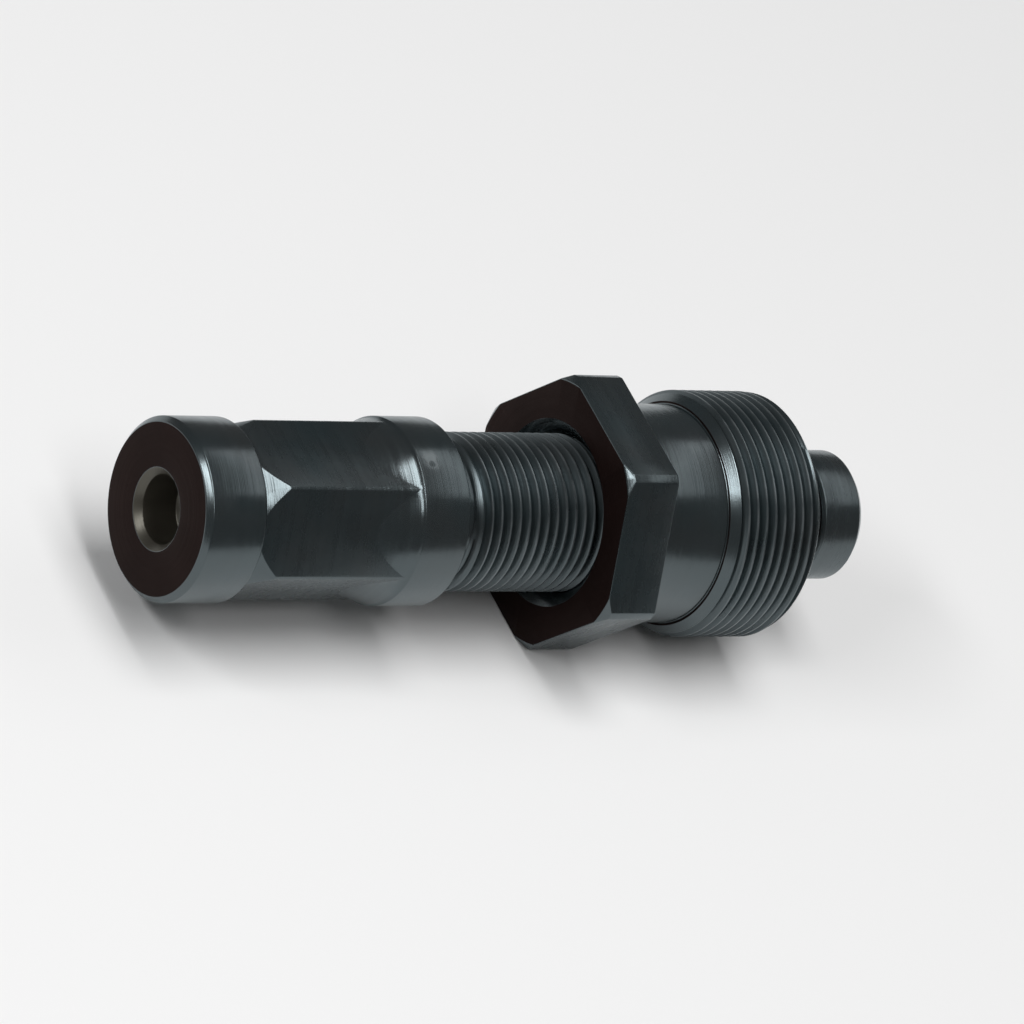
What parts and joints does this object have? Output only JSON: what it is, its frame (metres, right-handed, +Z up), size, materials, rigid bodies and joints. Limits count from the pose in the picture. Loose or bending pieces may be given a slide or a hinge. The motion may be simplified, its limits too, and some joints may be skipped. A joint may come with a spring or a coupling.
{
  "type": "bicycle crank puller",
  "caption": "Black steel crank puller: a threaded hexagon sleeve on a fine-thread spindle with a hexagon and round head, and a swivelling tip.",
  "frame": {"origin": "on the tool's axis, in the middle of the crank thread", "axes": "+X along the axis from the driving head to the swivel tip, +Z up, square to two flats of the sleeve's hexagon"},
  "size_m": [0.0727, 0.025, 0.022],
  "materials": {
    "blackened_steel": "black oxide over turned and milled steel, lightly oiled",
    "spring_steel": "drawn wire",
    "ball_steel": "polished"
  },
  "bodies": {
    "sleeve": {"sleeve": "blackened_steel"},
    "swivel_tip": {"swivel_tip": "blackened_steel"},
    "spindle": {"spindle": "blackened_steel", "tip_retaining_ring": "spring_steel", "thrust_ball": "ball_steel"}
  },
  "joints": [
    {"name": "tip_slide", "type": "slide", "parent": "sleeve", "child": "swivel_tip", "axis": [1, 0, 0], "range_m": [-0.011, 0.0141]},
    {"name": "spindle_turn", "type": "hinge", "parent": "swivel_tip", "child": "spindle", "pos_m": [0, 0, 0], "axis": [1, 0, 0], "range_deg": [-3960, 5076]}
  ],
  "couplings": [
    {"joint": "spindle_turn", "follows": "tip_slide", "rad_per_m": 6283.2}
  ]
}
